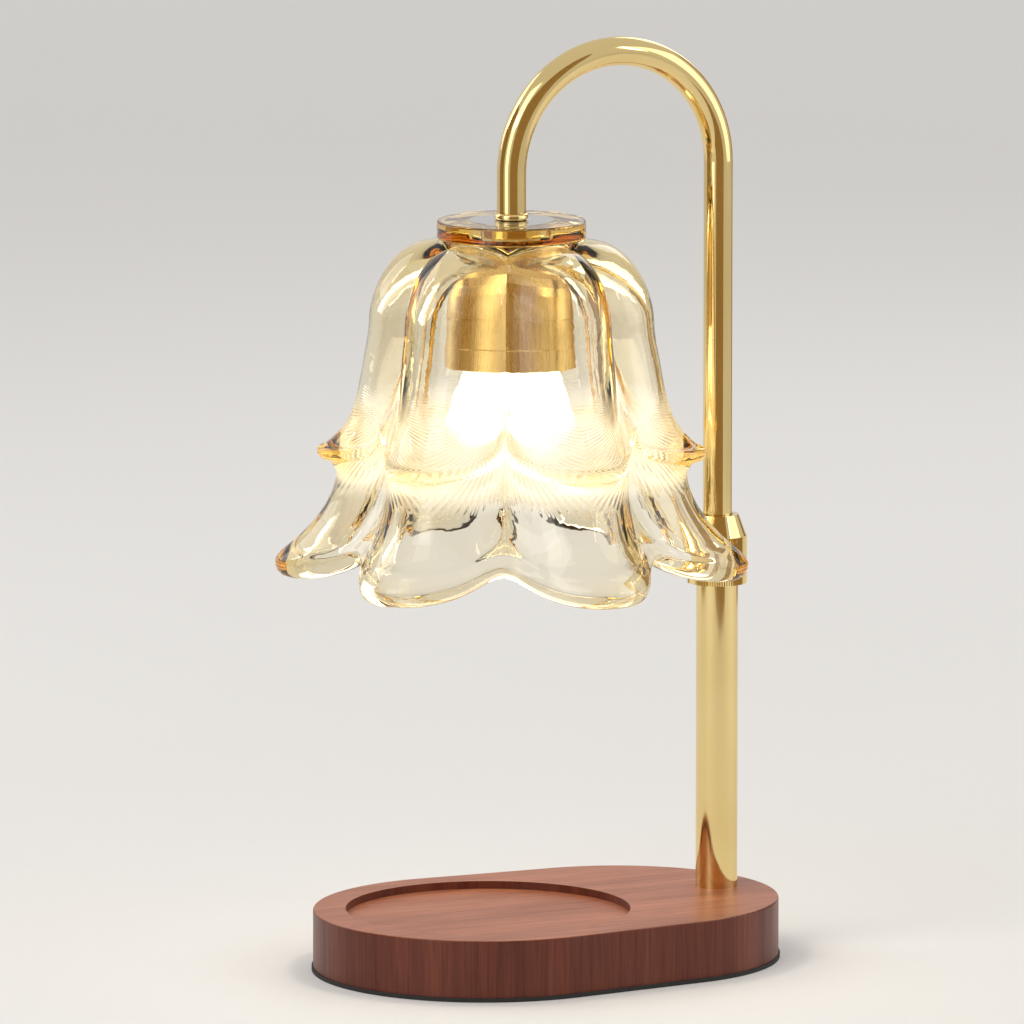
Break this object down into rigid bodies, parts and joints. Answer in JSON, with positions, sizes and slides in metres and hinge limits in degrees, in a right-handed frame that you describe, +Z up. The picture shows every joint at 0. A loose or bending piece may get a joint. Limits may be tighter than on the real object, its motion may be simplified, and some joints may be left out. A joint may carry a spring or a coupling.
{
  "type": "candle warmer lamp",
  "caption": "Table lamp that melts a jar candle from above: wooden base, gold telescoping mast and gooseneck arm, and an amber glass flower shade over a reflector lamp.",
  "frame": {"origin": "centre of the wooden board's footprint, on the surface the lamp stands on", "axes": "+Z up; +X along the board from the candle recess towards the mast; +Y to the left when looking along +X"},
  "size_m": [0.1898, 0.1806, 0.3559],
  "materials": {
    "board_wood": "satin lacquer over fine straight grain, reddish brown",
    "pad_rubber": "matte black non-slip sheet",
    "plate_steel": "zinc plated, plain",
    "black_plastic": "matte black moulding",
    "gold_plate": "mirror polished pale gold plating",
    "satin_gold": "fine brushed gold plating",
    "bare_brass": "turned brass",
    "white_nylon": "natural nylon moulding",
    "clear_silicone": "translucent silicone sheet",
    "amber_glass": "thick pressed amber glass, fire-polished",
    "holder_ceramic": "white steatite, unglazed",
    "cap_nickel": "satin nickel plating",
    "lamp_nickel": "nickel plated pins",
    "lamp_mirror": "aluminised glass bowl",
    "lamp_glass": "clear glass",
    "lead_cover": "heat-proof lead covering"
  },
  "bodies": {
    "base": {"base_board": "board_wood", "base_pad": "pad_rubber", "weight_plate": "plate_steel", "plate_screws": "plate_steel", "cord_grommet": "black_plastic", "mast_foot": "gold_plate", "mast_stud": "bare_brass", "mast_washer": "plate_steel", "mast_nut": "plate_steel", "tube_plug": "white_nylon", "lower_tube": "gold_plate", "stop_sleeve": "white_nylon", "clamp_collet": "white_nylon", "slack_lead": "lead_cover", "base_lead": "lead_cover", "terminal_block": "black_plastic", "terminal_fixing_screw": "plate_steel"},
    "lock_ring": {"lock_collar": "gold_plate"},
    "slider": {"guide_bush": "white_nylon"},
    "arm": {"arm_tube": "gold_plate", "stop_ring": "plate_steel", "tube_end_plug": "white_nylon", "arm_bush": "bare_brass", "drop_bead": "gold_plate", "cap_plate": "cap_nickel", "cap_disc": "gold_plate", "cap_gasket": "clear_silicone", "roof_gasket": "clear_silicone", "shade_nipple": "bare_brass", "glass_shade": "amber_glass", "can_cover": "satin_gold", "can_sleeve": "satin_gold", "can_nut": "plate_steel", "holder_bracket": "plate_steel", "lamp_holder": "holder_ceramic", "holder_contacts": "bare_brass", "holder_screws": "plate_steel", "arm_lead": "lead_cover"},
    "bulb": {"lamp_base": "holder_ceramic", "lamp_pins": "lamp_nickel", "lamp_reflector": "lamp_mirror", "lamp_lens": "lamp_glass", "lamp_capsule": "lamp_glass"}
  },
  "joints": [
    {"name": "collar_turn", "type": "hinge", "parent": "base", "child": "lock_ring", "pos_m": [0.0737, 0, 0.15], "axis": [0, 0, 1], "range_deg": [0, 90]},
    {"name": "height_slide", "type": "slide", "parent": "base", "child": "slider", "axis": [0, 0, 1], "range_m": [-0.04, 0.028], "deforming": ["slack_lead"]},
    {"name": "arm_swivel", "type": "hinge", "parent": "slider", "child": "arm", "pos_m": [0.0737, 0, 0.1112], "axis": [0, 0, 1], "range_deg": [-90, 90]},
    {"name": "lamp_twist", "type": "hinge", "parent": "arm", "child": "bulb", "pos_m": [-0.0153, 0, 0.2544], "axis": [0, 0, 1], "range_deg": [0, 24]}
  ]
}
